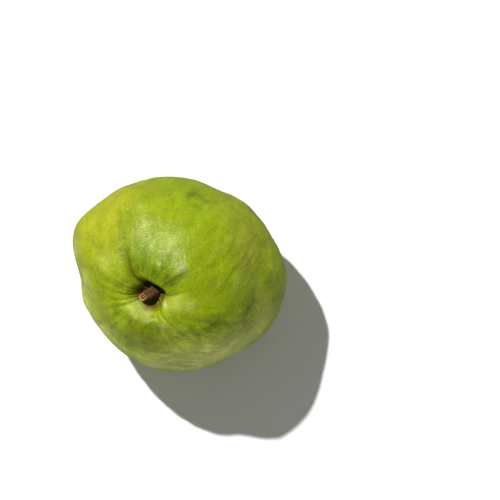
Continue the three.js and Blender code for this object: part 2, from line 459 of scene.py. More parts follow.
@dataclass(frozen=True)
class SkinRelief:
    """Fine relief on top of the fruit's form: lumps and low ridges that run from end to end."""

    lumps: tuple[Roughening, ...] = several(Roughening, (8, 0.16, 11), (4, 0.10, 12), (2, 0.05, 13))
    bare_radius: float = 4.0
    bare_fade: float = 8.0
    ridge_height: float = 0.24
    ridge_closeness: Pair = (6.5, 2.2)
    ridge_start: float = 22.0
    ridge_share: float = 0.7
    ridge_patches: float = 1.4
    fold_height: float = 0.07
    fold_closeness: Pair = (9.0, 1.6)
    fold_band: Pair = (7.0, 15.0)
    wrinkling: tuple[Wrinkling, ...] = several(
        Wrinkling,
        (6, 46, 24, (59, -34), 2.8, 11, 0.32, 31), (-83, 26, 28, (4, 0), 2.6, 8, 0.34, 32),
        (-167, 6, 22, (100, 20), 2.2, 9, 0.34, 33), (145, 34, 20, (85, -40), 2.4, 10, 0.14, 34),
    )
    seed: int = 21

    def wrinkles(self, towards: Array) -> Array:
        """Height of all the ridges in the wrinkled parts."""
        return sum(part.height_at(towards) for part in self.wrinkling)

    def ridges(self, spots: Spots, closeness: Pair, seed: int) -> Array:
        """Uneven ridges from end to end, -1 to 1, by their closeness round the fruit and along it."""
        ends = spots.reach / FruitForm.body_radius * closeness[1]
        return LumpField(seed)(round_points(closeness[0], spots.bearing, ends))

    def height_at(self, spots: Spots) -> Array:
        """Height of the fine relief, calm beside the hollow and at the far end.

        Args:
            spots: where on the skin.

        Returns:
            Millimetres to add to the skin's distance from the middle.
        """
        radius, bare = FruitForm.body_radius, self.bare_radius
        towards, reach = spots.towards, spots.reach
        calm = np.clip((reach - bare) / self.bare_fade, 0, 1)
        calm = calm * np.clip((math.pi * radius - reach) / self.ridge_start, 0, 1)
        total = np.zeros(len(towards))
        for lump in self.lumps:
            total += lump.height * LumpField(lump.seed)(towards * radius / lump.width) * calm
        share = self.ridge_share + LumpField(self.seed + 2)(towards * self.ridge_patches)
        share = calm * np.clip(reach / self.ridge_start, 0, 1) * share
        total += self.ridge_height * self.ridges(spots, self.ridge_closeness, self.seed) * share
        start, stop = self.fold_band
        band = np.clip((reach - bare) / (start - bare), 0, 1)
        band = band * bell(np.clip(reach - start, 0, None), stop - start)
        folds = self.ridges(spots, self.fold_closeness, self.seed + 1)
        return total + self.fold_height * folds * band + calm * self.wrinkles(towards)


# ---- shader graphs


class Graph:
    """Builds the nodes of one tree: a material's, the world's or a modifier's."""

    COLOUR_MIX_SOCKETS = (0, 6, 7)
    COLOUR_MIX_RESULT = 2

    def __init__(self, tree: bpy.types.NodeTree) -> None:
        """Starts from an empty tree."""
        self.tree = tree
        tree.nodes.clear()

    def add(self, kind: str, inputs: dict | None = None, **settings: object) -> Node:
        """Adds a node.

        Args:
            kind: the node's type name.
            inputs: values or sockets for its inputs, by name or number.
            settings: the node's own properties.

        Returns:
            The new node.
        """
        node = self.tree.nodes.new(kind)
        for name, value in settings.items():
            setattr(node, name, value)
        for name, value in (inputs or {}).items():
            if isinstance(value, Socket):
                self.tree.links.new(value, node.inputs[name])
            else:
                node.inputs[name].default_value = value
        return node

    def millimetres(self) -> Socket:
        """Object coordinates in millimetres."""
        return self.scaled(self.add("ShaderNodeTexCoord").outputs["Object"], (1 / MM, 1 / MM, 1 / MM))

    def scaled(self, vector: Socket, scale: Scale) -> Socket:
        """A vector stretched along its axes."""
        return self.add("ShaderNodeMapping", {"Vector": vector, "Scale": scale}).outputs[0]

    def noise(self, vector: Socket, size: float = 1.0, detail: float = 3.0, rough: float = 0.55) -> Socket:
        """Noise whose lumps are about `size` units of the vector."""
        inputs = {"Vector": vector, "Scale": 1 / size, "Detail": detail, "Roughness": rough}
        return self.add("ShaderNodeTexNoise", inputs).outputs[0]

    def cells(self, vector: Socket, size: float, smooth: float = 0.6) -> Socket:
        """Rounded cells about `size` units across, 0 in the middle of each."""
        inputs = {"Vector": vector, "Scale": 1 / size, "Smoothness": smooth}
        return self.add("ShaderNodeTexVoronoi", inputs, feature="SMOOTH_F1").outputs["Distance"]

    def math(self, operation: str, first: object, second: object, clamp: bool = False) -> Socket:
        """One arithmetic step."""
        inputs = {0: first, 1: second}
        return self.add("ShaderNodeMath", inputs, operation=operation, use_clamp=clamp).outputs[0]

    def times(self, first: object, second: object, clamp: bool = False) -> Socket:
        """Product of two values."""
        return self.math("MULTIPLY", first, second, clamp)

    def span(
        self, value: Socket, low: float, high: float, to_low: float = 0.0, to_high: float = 1.0
    ) -> Socket:
        """Maps a range of a value smoothly to another range, and clamps it."""
        inputs = {"Value": value, 1: low, 2: high, 3: to_low, 4: to_high}
        return self.add("ShaderNodeMapRange", inputs, interpolation_type="SMOOTHSTEP").outputs[0]

    def blend(self, share: object, under: object, over: object) -> Socket:
        """Mixes two colours, given as values or sockets, by the share of the second."""
        inputs = dict(zip(self.COLOUR_MIX_SOCKETS, (share, under, over)))
        return self.add("ShaderNodeMix", inputs, data_type="RGBA").outputs[self.COLOUR_MIX_RESULT]

    def attribute(self, name: str) -> Node:
        """Reads an attribute of the mesh."""
        return self.add("ShaderNodeAttribute", attribute_name=name)


class Surface(Graph):
    """Builds one material."""

    def __init__(self, name: str) -> None:
        """Starts a material.

        Args:
            name: the material's name.
        """
        self.material = bpy.data.materials.new(name)
        self.material.use_nodes = True
        super().__init__(self.material.node_tree)

    def bumps(self, height: Socket, depth: float, strength: float = 1.0) -> Socket:
        """Bumps of a depth in millimetres, from the socket of their height."""
        inputs = {"Strength": strength, "Distance": depth * MM, "Height": height}
        return self.add("ShaderNodeBump", inputs).outputs[0]

    def shaded(self, **inputs: object) -> Material:
        """Ends the nodes in a surface shader.

        Args:
            inputs: values or sockets for the shader's inputs, with _ for each space.

        Returns:
            The finished material.
        """
        inputs = {name.replace("_", " "): value for name, value in inputs.items()}
        shader = self.add("ShaderNodeBsdfPrincipled", inputs)
        self.add("ShaderNodeOutputMaterial", {"Surface": shader.outputs[0]})
        return self.material


def linear(*display: int) -> Colour:
    """Linear colour from red, green and blue display values of 0 to 255."""
    shares = [value / 255 for value in display]
    return (*(s / 12.92 if s <= 0.04045 else ((s + 0.055) / 1.055) ** 2.4 for s in shares), 1.0)


# ---- finishes


@dataclass(frozen=True)
class SkinFinish:
    """Waxy green skin: patches of colour that also hold painted light and shade, streaks from the stalk,
    fine speckle, pores and a soft gloss.
    """

    green: Colour = linear(125, 143, 1)
    bright: Colour = linear(135, 155, 2)
    light: Colour = linear(158, 172, 16)
    yellow: Colour = linear(153, 157, 18)
    unripe: Colour = linear(102, 140, 0)
    # deep green of the darker mottle, also laid on as painted shade
    deep: Colour = linear(87, 102, 2)
    # pale green, laid on mostly as painted light: glow from the bright floor on the low flanks and a
    # painted highlight below the stalk
    pale: Colour = linear(196, 202, 104)
    # brown of the skin, also laid on as painted shade deep in the hollow and creases
    brown: Colour = linear(80, 52, 14)
    broad_size: float = 17.0
    broad_range: Range = (0.38, 0.62)
    patch_size: float = 6.0
    speckle_size: float = 0.9
    speckle_range: Range = (0.25, 0.75, 0.85, 1.14)
    streaks: Scale = (20, 20, 5)
    streak_range: Range = (0.5, 0.75)
    streak_patches: Range = (0.35, 0.7, 0.0, 0.5)
    bands: Scale = (9, 9, 2.2)
    band_share: float = 0.4
    mottle_range: Range = (0.35, 0.65, 0.92, 1.08)
    smears: Scale = (0.1, 0.45, 0.45)
    ripe_light_range: Range = (0.25, 0.7, 0.7, 1.2)
    mottle_shade_range: Range = (0.38, 0.62, 1.25, 0.3)
    pale_light_range: Range = (0.3, 0.7, 0.7, 1.25)
    roughness_size: float = 2.5
    roughness_range: Range = (0.3, 0.7, 0.38, 0.52)
    gloss: float = 0.28
    gloss_tint: Colour = (1.0, 1.0, 0.75, 1.0)
    pore_size: float = 1.0
    pore_depth: float = 0.1
    grain_size: float = 0.6
    grain_share: float = 0.6
    glow: float = 0.1
    glow_colour: tuple[float, float, float] = (1.0, 0.9, 0.2)
    glow_depth: float = 1.6

    def colour(self, graph: Graph, place: Socket, run: Socket) -> Socket:
        """Skin colour from the patches, broken up by noise; the patches hold painted light and shade as
        well as the skin's own colour.

        Args:
            graph: the material's nodes.
            place: position in millimetres.
            run: position as turns round the stalk and distance from it.

        Returns:
            The colour's socket.
        """
        tints = graph.attribute("tints")
        ripe_light_share, mottle_shade_share, pale_light_share = graph.add("ShaderNodeSeparateColor", {0: tints.outputs["Color"]}).outputs
        broad = graph.noise(place, self.broad_size, detail=4)
        patch = graph.noise(place, self.patch_size, detail=4, rough=0.6)
        speckle = graph.noise(place, self.speckle_size, rough=0.6)
        streak = graph.noise(graph.scaled(run, self.streaks), detail=4, rough=0.65)
        band = graph.times(graph.noise(graph.scaled(run, self.bands)), self.band_share)
        mottle = graph.math("ADD", band, graph.times(patch, 1 - self.band_share))
        smear = graph.noise(graph.scaled(place, self.smears), detail=4, rough=0.6)

        colour = graph.blend(graph.span(broad, *self.broad_range), self.green, self.bright)
        colour = graph.blend(graph.times(ripe_light_share, -1.0, clamp=True), colour, self.unripe)
        # yellow, where some patches are painted light that lifts dim parts
        ripe_light_share = graph.times(ripe_light_share, graph.span(patch, *self.ripe_light_range), clamp=True)
        colour = graph.blend(ripe_light_share, colour, self.yellow)
        # darker green mottle, much of it painted shade on slopes turned from the light
        mottle_shade_share = graph.times(mottle_shade_share, graph.span(mottle, *self.mottle_shade_range), clamp=True)
        colour = graph.blend(mottle_shade_share, colour, self.deep)
        light = graph.span(streak, *self.streak_range)
        light = graph.times(light, graph.span(patch, *self.streak_patches))
        colour = graph.blend(light, colour, self.light)
        # pale green, mostly painted light from the floor and a painted highlight
        pale_light_share = graph.times(pale_light_share, graph.span(smear, *self.pale_light_range))
        colour = graph.blend(pale_light_share, colour, self.pale)
        speckle = graph.span(speckle, *self.speckle_range)
        value = graph.times(speckle, graph.span(mottle, *self.mottle_range))
        colour = graph.add("ShaderNodeHueSaturation", {"Value": value, "Color": colour}).outputs[0]
        # brown, partly painted shade in the hollow and creases
        return graph.blend(tints.outputs["Alpha"], colour, self.brown)

    def material(self) -> Material:
        """Makes the skin's material.

        Returns:
            The finished material.
        """
        graph = Surface("waxy_skin")
        place = graph.millimetres()
        colour = self.colour(graph, place, graph.attribute("skin_run").outputs["Vector"])
        grain = graph.times(graph.noise(place, self.grain_size, detail=2, rough=0.5), self.grain_share)
        height = graph.math("ADD", graph.cells(place, self.pore_size), grain)
        rough = graph.span(graph.noise(place, self.roughness_size), *self.roughness_range)
        return graph.shaded(
            Base_Color=colour, Normal=graph.bumps(height, self.pore_depth), Roughness=rough,
            Specular_IOR_Level=self.gloss, Specular_Tint=self.gloss_tint,
            Subsurface_Weight=self.glow, Subsurface_Radius=self.glow_colour,
            Subsurface_Scale=self.glow_depth * MM,
        )


@dataclass(frozen=True)
class BarkFinish:
    """Dry brown bark with painted shade darkening it towards its foot in the hollow, and a pale ring round
    the dark middle of its cut end.
    """

    bark: Colour = linear(118, 84, 34)
    dark: Colour = linear(48, 30, 12)
    ring: Colour = linear(190, 152, 104)
    heart: Colour = linear(96, 46, 20)
    pith: Colour = linear(160, 116, 52)
    ring_inside: float = 1.08
    ring_outside: float = 1.28
    ring_blur: float = 0.12
    pith_radius: float = 0.42
    heart_blur: float = 0.1
    # painted shade: the bark darkens towards its foot, down in the shaded hollow
    foot_range: Range = (1.5, 4.5, 0.35, 1.0)
    blotch_size: float = 0.9
    blotch_range: Range = (0.3, 0.65)
    blotch_share: float = 0.6
    fibres: Scale = (4, 4, 0.5)
    fibre_range: Range = (0.3, 0.6, 0.35, 1.0)
    groove_depth: float = 0.12
    groove_strength: float = 0.8
    roughness: float = 0.75
    gloss: float = 0.3

    def material(self) -> Material:
        """Makes the bark's material.

        Returns:
            The finished material.
        """
        graph = Surface("dry_bark")
        run = graph.attribute("bark_run").outputs["Vector"]
        height = graph.add("ShaderNodeSeparateXYZ", {0: run}).outputs["Z"]
        blotch = graph.noise(graph.millimetres(), self.blotch_size, detail=4, rough=0.6)
        fibre = graph.noise(graph.scaled(run, self.fibres), detail=4, rough=0.6)
        share = graph.span(blotch, *self.blotch_range)
        share = graph.times(share, graph.span(fibre, *self.fibre_range))
        # painted shade towards the foot
        share = graph.times(share, graph.span(height, *self.foot_range))
        colour = graph.blend(share, self.dark, self.bark)
        cut = graph.attribute("cut_radius").outputs["Fac"]
        edges = (
            (self.ring_outside, self.ring_outside + self.ring_blur, self.ring),
            (self.ring_inside - self.heart_blur, self.ring_inside, self.heart),
            (self.pith_radius - self.heart_blur, self.pith_radius, self.pith),
        )
        for start, stop, inside in edges:
            colour = graph.blend(graph.span(cut, start, stop, to_low=1, to_high=0), colour, inside)
        grooves = graph.math("ADD", fibre, graph.times(blotch, self.blotch_share))
        return graph.shaded(
            Base_Color=colour, Normal=graph.bumps(grooves, self.groove_depth, self.groove_strength),
            Roughness=self.roughness, Specular_IOR_Level=self.gloss,
        )


@dataclass(frozen=True)
class HuskFinish:
    """Dry, brittle brown tissue, darker in its folds."""

    husk: Colour = linear(132, 104, 62)
    dark: Colour = linear(58, 42, 26)
    tip: Colour = linear(96, 66, 40)
    blotch_size: float = 1.4
    blotch_range: Range = (0.35, 0.65)
    veins: Scale = (2.6, 2.6, 0.7)
    vein_range: Range = (0.55, 0.72, 0.0, 0.8)
    vein_depth: float = 0.12
    vein_strength: float = 0.8
    roughness: float = 0.85
    gloss: float = 0.25

    def material(self) -> Material:
        """Makes the husk's material.

        Returns:
            The finished material.
        """
        graph = Surface("dry_husk")
        place = graph.millimetres()
        blotch = graph.noise(place, self.blotch_size, detail=4, rough=0.6)
        vein = graph.noise(graph.scaled(place, self.veins), rough=0.6)
        colour = graph.blend(graph.span(blotch, *self.blotch_range), self.tip, self.husk)
        colour = graph.blend(graph.span(vein, *self.vein_range), colour, self.dark)
        return graph.shaded(
            Base_Color=colour, Normal=graph.bumps(vein, self.vein_depth, self.vein_strength),
            Roughness=self.roughness, Specular_IOR_Level=self.gloss,
        )


@dataclass(frozen=True)
class FloorFinish:
    """Plain matt white floor."""

    tone: float = 0.9
    roughness: float = 0.9

    def material(self) -> Material:
        """Makes the floor's material."""
        tone = (self.tone, self.tone, self.tone, 1.0)
        return Surface("pale_floor").shaded(Base_Color=tone, Roughness=self.roughness)


# ---- pieces


def mesh_object(name: str, points: Array, faces: Sequence[Sequence[int]]) -> Piece:
    """Smooth mesh object from points in millimetres.

    Args:
        name: the object's name.
        points: corners in millimetres, in the row's frame.
        faces: corner numbers of each face, turning outwards.

    Returns:
        The object, linked to the scene.
    """
    mesh = bpy.data.meshes.new(name)
    mesh.from_pydata((points * MM).tolist(), [], faces)
    mesh.shade_smooth()
    mesh.update()
    piece = bpy.data.objects.new(name, mesh)
    bpy.context.scene.collection.objects.link(piece)
    return piece


@dataclass(frozen=True)
class Rings:
    """Corners of a closed mesh: a first pole, rings in turn and a last pole."""

    count: int
    sectors: int

    @property
    def share(self) -> Array:
        """Place of each ring between the poles, 0 to 1."""
        return np.arange(1, self.count + 1) / (self.count + 1)

    @property
    def turn(self) -> Array:
        """Angle of each ring's corners in radians, to the left as seen from outside the first pole."""
        return np.tile(np.arange(self.sectors) * 2 * math.pi / self.sectors, self.count)

    def corners(self, *values: Array) -> Iterator[Array]:
        """Gives each ring's value to all its corners."""
        return (np.repeat(ring_values, self.sectors) for ring_values in values)

    def piece(self, name: str, points: Array) -> Piece:
        """Smooth closed mesh object, its faces turning outwards.

        Args:
            name: the object's name.
            points: corners in millimetres, the poles first and last.

        Returns:
            The object, linked to the scene.
        """
        last, sectors = 1 + self.count * self.sectors, range(self.sectors)
        after = [(i + 1) % self.sectors for i in sectors]
        starts = range(1, last, self.sectors)
        faces = [(0, 1 + i, 1 + after[i]) for i in sectors]
        for here, below in zip(starts, starts[1:]):
            faces += [(here + i, below + i, below + after[i], here + after[i]) for i in sectors]
        faces += [(last, starts[-1] + after[i], starts[-1] + i) for i in sectors]
        return mesh_object(name, points, faces)


def corner_values(piece: Piece, name: str, kind: str, values: Array) -> None:
    """Stores a row of values for each corner of a piece, for its material to read."""
    attribute = piece.data.attributes.new(name, kind, "POINT")
    attribute.data.foreach_set(ATTRIBUTE_FIELDS[kind], values.ravel())


def hand_over(piece: Piece, slot: str, node: str) -> None:
    """Rides a piece on the fruit's body in place of its solid, and reports it.

    Args:
        piece: the finished piece.
        slot: what the piece is, which is only printed.
        node: the solid's node that the piece stands for.
    """
    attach(piece, BODY)
    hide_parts(node)
    log.info("%s: %d faces, slot %s", piece.name, len(piece.data.polygons), slot)


class Tint(Enum):
    """Channels of the skin's colour patches, which carry painted light and shade along with the skin's own
    colours. Ripeness below 0 is a fresher green.
    """

    # yellow ripeness, partly painted light that lifts dim parts
    RIPE_AND_LIGHT = 0
    # darker green mottle, partly painted shade
    MOTTLE_AND_SHADE = 1
    # pale green, mostly painted light: floor glow on the flanks and a painted highlight
    PALE_AND_LIGHT = 2
    # brown of the skin, partly painted shade in the hollow and creases
    BROWN = 3


@dataclass(frozen=True)
class Patch:
    """A soft patch of one tint, by where it points."""

    tint: Tint
    azimuth: float
    elevation: float
    strength: float
    spread: float


@dataclass
class Fruit:
    """The fruit's skin, from the stalk's hollow to the calyx's basin."""

    form: FruitForm = FruitForm()
    relief: SkinRelief = SkinRelief()
    finish: SkinFinish = SkinFinish()
    mesh: Rings = Rings(234, 400)
    crowding: float = 0.45
    patches: tuple[Patch, ...] = (
        # yellow ripeness, a fresher green below 0, and some patches of painted light on parts the light
        # leaves dim
        *several(
            partial(Patch, Tint.RIPE_AND_LIGHT),
            (142, 26, 0.9, 24), (121, 20, 0.5, 16), (173, 40, 0.3, 16), (-118, 72, 0.7, 4),
            (28, 28, 0.45, 18), (-27, 19, 0.7, 12), (-165, 56, 0.8, 4), (62, 22, 0.4, 9),
            (14, 37, 0.6, 8), (-165, 29, 0.5, 8), (-119, 62, 0.9, 2.2), (-122, 67, 0.9, 2),
            (155, 65, -0.7, 9), (165, 80, -0.6, 7),
        ),
        # darker green mottle, and painted shade on slopes turned from the light, round the hollow and
        # along the shaded band below the stalk; below 0 it takes painted shade away
        *several(
            partial(Patch, Tint.MOTTLE_AND_SHADE),
            (-29, 40, 0.6, 15), (-55, 46, 0.65, 13), (75, 35, 0.7, 9), (7, 66, 0.15, 10),
            (-63, 47, 1.2, 7), (113, 60, 0.35, 12), (77, 84, 0.4, 7), (144, 49, 0.6, 4.5),
            (132, 40, 0.3, 5), (-179, 78, 0.6, 8), (157, 69, 0.5, 7), (172, 64, 0.5, 4.5),
            (-165, 44, 0.5, 10), (178, 34, 0.3, 9), (-113, 48, 0.7, 12), (-80, 51, 0.6, 11),
            (-27, 16, -0.4, 10), (-139, 36, 0.4, 7), (-134, 49, 0.7, 4), (156, 57, 1.4, 5),
            (-115, 85, 0.6, 5), (8, 84, 0.55, 5), (-165, 56, 1.1, 4.5), (-41, 29, -0.8, 7),
            (-12, 50, -0.4, 13), (146, 45, 0.35, 6), (-176, 45, 0.4, 5), (24, 31, -0.3, 6),
            (-2, 38, -0.4, 7), (140, 64, 0.4, 5), (120, 41, 0.3, 6), (-102, 82, 0.4, 4),
            (-160, 83, 0.35, 4), (-39, 87, 0.35, 4), (-149, 43, 0.45, 3.5), (172, 39, 0.35, 4),
            (-3, 23, 0.3, 5), (95, 67, 0.3, 4), (129, 55, 0.3, 4),
        ),
        # pale patches, mostly painted light: floor glow on the low flanks, fill light on the near side, a
        # painted highlight below the stalk and on the hollow's wall; a plain paler patch round the calyx
        *several(
            partial(Patch, Tint.PALE_AND_LIGHT),
            (-128, 57, 0.5, 3), (-84, 23, 0.8, 20), (-64, 34, 0.8, 8), (-55, 22, 0.45, 12),
            (-106, 18, 0.8, 9), (-124, 14, 0.4, 7), (-143, 13, 0.5, 6), (-177, 20, 0.6, 7),
            (166, 12, 0.5, 7), (-28, 19, 0.35, 10), (-146, 54, 0.4, 3), (-46, 35, 0.55, 8),
            (-33, 23, 0.35, 8), (-110, 69, 0.95, 2.5), (-142, -5, 0.9, 22), (-166, 8, 0.4, 10),
            (-131, 56, 0.4, 5), (169, 44, 0.25, 6), (33, -61, 0.4, 14), (-102, 56, 0.3, 3),
            (-88, 72, 0.35, 4), (-65, 70, 0.35, 3.5), (-140, 57, 0.4, 3), (-127, 51, -0.35, 3.5),
        ),
        # brown blush and the calyx's brown; the patch below 0 takes painted shade off the hollow's wall
        *several(
            partial(Patch, Tint.BROWN),
            (-131, 46, 0.2, 7), (-117, 40, 0.15, 8), (-120, 64, -0.55, 2.4), (33, -61, 0.5, 6),
        ),
    )
    least_tint: tuple[float, ...] = (-1.0, 0.0, 0.0, 0.0)
    most_tint: tuple[float, ...] = (1.0, 2.0, 1.0, 1.0)
    # painted shade: brown laid in the hollow and the creases, stronger where they are deeper
    hollow_share: Pair = (0.4, 0.85)
    hollow_brown_shade: float = 0.9
    crease_brown_shade: float = 0.8
    crease_edge: float = 0.15
    crease_fall: float = 1.5
    # painted shade in the wrinkles' grooves and painted light on their ridges
    groove_shade: float = 0.9
    ridge_painted_light: float = 0.7

    def directions(self) -> Array:
        """Where the skin's corners point: the stem pole, each ring in turn, the far pole.

        Returns:
            Unit vectors, one row each.
        """
        (share,) = self.mesh.corners(self.mesh.share)
        polar = math.pi * (share - self.crowding * np.sin(2 * math.pi * share) / (2 * math.pi))
        stem, polar, turn = self.form.stem, polar[:, None], self.mesh.turn[:, None]
        round_axis = np.cos(turn) * stem.across + np.sin(turn) * stem.beside
        rings = np.cos(polar) * stem.axis + np.sin(polar) * round_axis
        return np.vstack([stem.axis, rings, -stem.axis])

    def hollow_brown_and_shade(self, spots: Spots) -> Array:
        """Brown of the hollow and of the creases, stronger where they are deeper: partly the skin's own
        brown, partly painted shade.

        Args:
            spots: where on the skin.

        Returns:
            Strength at each spot.
        """
        form = self.form
        dents = [lobe.height_at(spots) for lobe in form.lobes if lobe.height < 0]
        depth = (form.funnel.depth_at(spots) - sum(dents)) / form.funnel.depth
        start, full = self.hollow_share
        total = self.hollow_brown_shade * np.clip((depth - start) / (full - start), 0, 1)
        for crease in form.creases:
            share = np.clip(crease.depth_at(spots) / crease.depth - self.crease_edge, 0, None)
            total += self.crease_brown_shade * share**self.crease_fall
        return total

    def tints(self, spots: Spots) -> Array:
        """Strength of each tint.

        Args:
            spots: where on the skin.

        Returns:
            One row for each spot, in the order of Tint.
        """
        values = np.zeros((len(spots.towards), len(Tint)))
        for patch in self.patches:
            share = soft_patch(spots.towards, patch.azimuth, patch.elevation, patch.spread)
            values[:, patch.tint.value] += patch.strength * share
        wrinkles = self.relief.wrinkles(spots.towards)
        # painted shade in the hollow, the creases and the wrinkles' grooves, and painted light on the
        # wrinkles' ridges
        values[:, Tint.BROWN.value] += self.hollow_brown_and_shade(spots)
        values[:, Tint.MOTTLE_AND_SHADE.value] += self.groove_shade * np.clip(-wrinkles, 0, None)
        values[:, Tint.PALE_AND_LIGHT.value] += self.ridge_painted_light * np.clip(wrinkles, 0, None)
        return np.clip(values, self.least_tint, self.most_tint)

    def build(self) -> Piece:
        """Makes and dresses the skin, flat where it rests on the floor.

        Returns:
            The skin's object.
        """
        form = self.form
        spots = form.spots(self.directions())
        radius = form.radius(spots.towards) + self.relief.height_at(spots)
        points = np.array(form.middle) + spots.towards * radius[:, None]
        points[:, 2] = np.maximum(points[:, 2], 0.0)
        skin = self.mesh.piece("fruit_skin", points)
        run = round_points(1.0, spots.bearing, spots.reach / form.body_radius)
        corner_values(skin, "skin_run", "FLOAT_VECTOR", run)
        corner_values(skin, "tints", "FLOAT_COLOR", self.tints(spots))
        skin.data.materials.append(self.finish.material())
        hand_over(skin, "skin", "guava_fruit")
        return skin


@dataclass
class Stalk:
    """The woody stalk end that stands in the hollow."""

    form: FruitForm = FruitForm()
    finish: BarkFinish = BarkFinish()
    radius: float = 2.05
    tip_radius: float = 1.8
    length: float = 6.1
    sunk: float = 1.6
    foot: Pair = (1.4, 1.2)
    lean: Pair = (-3.2, -1.2)
    bend: float = 1.6
    squareness: float = 0.07
    collar_height: float = 1.6
    collar_swell: float = 0.35
    collar_width: float = 0.7
    flare: float = 1.5
    rim: float = 0.22
    rim_steepness: float = 8
    ring_height: float = 0.12
    ring_width: float = 0.25
    pith_depth: float = 0.35
    pith_height: float = 0.25
    grain: tuple[Crumple, ...] = several(Crumple, (0.10, (1.4, 1.4, 0.5)), (0.05, (4, 4, 0.8), 9))
    face_lumps: Crumple = Crumple(0.1, (2, 2, 0), 4)
    edge_steepness: float = 6
    off_the_cut: float = 9.0
    sectors: int = 72
    face_rings: int = 22
    side_rings: int = 46
    seed: int = 5

    def profile(self) -> tuple[Array, Array, Array]:
        """Outline from the middle of the cut end, over its rim and down to the buried foot.

        Returns:
            Radius and height of each ring, and its distance from the middle on the cut end.
        """
        finish = self.finish
        across = np.linspace(0, 1, self.face_rings + 1)[1:] * self.tip_radius
        ring_middle = (finish.ring_inside + finish.ring_outside) / 2
        face = self.length - self.pith_depth * plateau(across, finish.ring_inside, self.rim_steepness)
        face += self.ring_height * bell(across - ring_middle, self.ring_width)
        face += self.pith_height * bell(across, finish.pith_radius)
        face -= self.rim * (across / self.tip_radius) ** self.rim_steepness
        down = np.linspace(0, 1, self.side_rings + 1)[1:]
        height = self.length - self.rim - down * (self.length - self.rim + self.sunk)
        spread = np.clip(down / (1 - self.sunk / self.length), 0, 1)
        side = self.tip_radius + (self.radius - self.tip_radius) * spread**self.flare
        side += self.collar_swell * bell(height - self.collar_height, self.collar_width)
        cut = np.concatenate([across, np.full(len(side), self.off_the_cut)])
        return np.concatenate([across, side]), np.concatenate([face, height]), cut

    def build(self) -> Piece:
        """Makes and dresses the stalk end.

        Returns:
            The stalk's object.
        """
        outline = self.profile()
        mesh = Rings(len(outline[0]), self.sectors)
        radius, height, cut = mesh.corners(*outline)
        turn, lumps = mesh.turn, LumpField(self.seed)
        run = round_points(1.0, turn, height)
        grain = sum(crumple.over(lumps, run) for crumple in self.grain)
        on_side = np.clip(radius / self.tip_radius, 0, 1) ** self.edge_steepness
        radius = radius * (1 + self.squareness * np.cos(4 * turn)) * (1 + grain * on_side)
        height = height + self.face_lumps.over(lumps, run) * (1 - on_side)
        local = round_points(radius, turn, height)
        pith, buried = [0, 0, self.length - self.pith_depth + self.pith_height], [0, 0, -self.sunk]
        local = np.vstack([pith, local, buried])
        leaning = (np.clip(local[:, 2], 0, None) / self.length) ** self.bend
        local[:, :2] += np.array(self.foot) + leaning[:, None] * self.lean
        stem = self.form.stem
        points = stem.place(local, self.form.point(stem.axis))
        stalk = mesh.piece("stalk_end", points)
        run = np.vstack([[0, 0, self.length], run, buried])
        corner_values(stalk, "bark_run", "FLOAT_VECTOR", run)
        corner_values(stalk, "cut_radius", "FLOAT", np.concatenate([[0.0], cut, [self.off_the_cut]]))
        stalk.data.materials.append(self.finish.material())
        hand_over(stalk, "stalk", "stem_stub")
        return stalk


